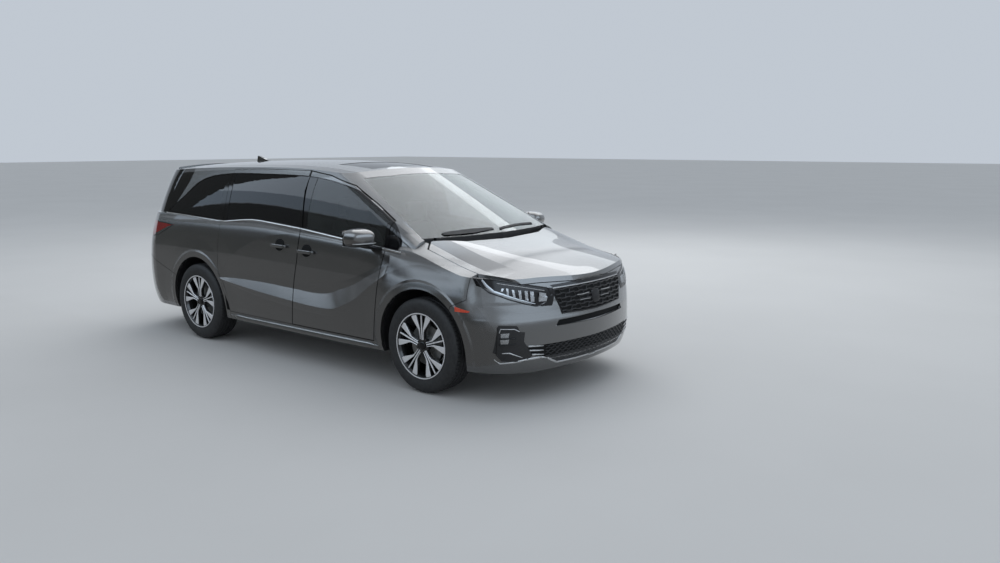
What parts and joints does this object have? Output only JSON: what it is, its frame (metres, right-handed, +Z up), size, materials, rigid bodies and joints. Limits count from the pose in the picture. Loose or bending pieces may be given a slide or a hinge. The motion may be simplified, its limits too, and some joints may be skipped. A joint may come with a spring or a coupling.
{
  "type": "minivan",
  "caption": "Three-row family minivan with hinged front doors, bonnet and tailgate, sliding side doors and steered front wheels.",
  "frame": {"origin": "on the ground, under the middle of the vehicle's length and width", "axes": "+X forward, +Y to the vehicle's left, +Z up"},
  "size_m": [5.2131, 2.48, 1.767],
  "materials": {
    "body_paint": "dark metallic gloss paint",
    "black_plastic": "satin black moulding",
    "clear_glass": "lightly tinted glass",
    "dark_glass": "dark privacy glass",
    "lamp_housing": "clear lens over dark housing",
    "red_lens": "red lens",
    "tyre": "black rubber",
    "wheel_metal": "machined faces over dark paint",
    "seat_cloth": "dark upholstery",
    "chassis_metal": "black chassis paint",
    "engine_metal": "cast metal",
    "exhaust_metal": "dull steel",
    "bright_trim": "bright trim"
  },
  "bodies": {
    "root": {"antenna_fin": "body_paint", "body_side_left": "body_paint", "body_side_right": "body_paint", "cowl_bulkhead": "black_plastic", "dashboard": "black_plastic", "engine_block": "engine_metal", "exhaust": "exhaust_metal", "fender_left": "body_paint", "fender_right": "body_paint", "floor_pan": "black_plastic", "fog_lamp_bezels": "black_plastic", "front_bumper": "body_paint", "front_seats": "seat_cloth", "front_subframe": "chassis_metal", "fuel_tank": "black_plastic", "grille_slot": "black_plastic", "headlamps": "lamp_housing", "lower_grille": "black_plastic", "middle_seats": "seat_cloth", "quarter_glass": "dark_glass", "radiator": "black_plastic", "rear_bumper": "body_paint", "rear_seats": "seat_cloth", "rear_suspension": "chassis_metal", "roof_panel": "body_paint", "sliding_door_glass": "dark_glass", "sliding_door_left": "body_paint", "sliding_door_right": "body_paint", "sunroof_glass": "dark_glass", "tail_lamps": "red_lens", "upper_grille": "black_plastic", "wheel_arch_liners": "black_plastic", "windscreen": "clear_glass", "wipers": "black_plastic"},
    "bonnet": {"bonnet": "body_paint"},
    "tailgate": {"tailgate": "body_paint", "tailgate_glass": "dark_glass", "tailgate_lamps": "red_lens", "rear_wiper": "black_plastic"},
    "front_door_left": {"front_door_left": "body_paint", "front_door_glass_left": "clear_glass", "mirror_left": "body_paint"},
    "front_door_right": {"front_door_right": "body_paint", "front_door_glass_right": "clear_glass", "mirror_right": "body_paint"},
    "steering_wheel": {"steering_wheel": "black_plastic"},
    "knuckle_left": {"knuckle_left": "chassis_metal"},
    "knuckle_right": {"knuckle_right": "chassis_metal"},
    "front_wheel_left": {"front_tyre_left": "tyre", "front_rim_left": "wheel_metal"},
    "front_wheel_right": {"front_tyre_right": "tyre", "front_rim_right": "wheel_metal"},
    "rear_wheel_left": {"rear_tyre_left": "tyre", "rear_rim_left": "wheel_metal"},
    "rear_wheel_right": {"rear_tyre_right": "tyre", "rear_rim_right": "wheel_metal"}
  },
  "joints": [
    {"name": "front_door_left_hinge", "type": "hinge", "parent": "root", "child": "front_door_left", "pos_m": [1.311, 0.96, 0.7], "axis": [0, 0, -1], "range_deg": [0, 65]},
    {"name": "front_door_right_hinge", "type": "hinge", "parent": "root", "child": "front_door_right", "pos_m": [1.311, -0.96, 0.7], "axis": [0, 0, 1], "range_deg": [0, 65]},
    {"name": "bonnet_hinge", "type": "hinge", "parent": "root", "child": "bonnet", "pos_m": [1.495, 0, 1.12], "axis": [0, -1, 0], "range_deg": [0, 42]},
    {"name": "tailgate_hinge", "type": "hinge", "parent": "root", "child": "tailgate", "pos_m": [-2.13, 0, 1.652], "axis": [0, 1, 0], "range_deg": [0, 80]},
    {"name": "steering", "type": "hinge", "parent": "root", "child": "knuckle_left", "pos_m": [1.6465, 0.78, 0.215], "axis": [0, -0.2607, 0.9654], "range_deg": [-35, 35]},
    {"name": "steering_right", "type": "hinge", "parent": "root", "child": "knuckle_right", "pos_m": [1.6465, -0.78, 0.215], "axis": [0, 0.2607, 0.9654], "range_deg": [-35, 35]},
    {"name": "front_wheel_left_spin", "type": "hinge", "parent": "knuckle_left", "child": "front_wheel_left", "pos_m": [1.6465, 0.855, 0.3705], "axis": [0, 1, 0], "continuous": true},
    {"name": "front_wheel_right_spin", "type": "hinge", "parent": "knuckle_right", "child": "front_wheel_right", "pos_m": [1.6465, -0.855, 0.3705], "axis": [0, 1, 0], "continuous": true},
    {"name": "rear_wheel_left_spin", "type": "hinge", "parent": "root", "child": "rear_wheel_left", "pos_m": [-1.3535, 0.855, 0.3705], "axis": [0, 1, 0], "continuous": true},
    {"name": "rear_wheel_right_spin", "type": "hinge", "parent": "root", "child": "rear_wheel_right", "pos_m": [-1.3535, -0.855, 0.3705], "axis": [0, 1, 0], "continuous": true},
    {"name": "steering_wheel_turn", "type": "hinge", "parent": "root", "child": "steering_wheel", "pos_m": [0.94, 0.37, 0.985], "axis": [-0.9063, 0, 0.4226], "range_deg": [-500, 500]}
  ],
  "couplings": [
    {"joint": "steering_right", "follows": "steering", "ratio": 1},
    {"joint": "steering_wheel_turn", "follows": "steering", "ratio": 14}
  ]
}
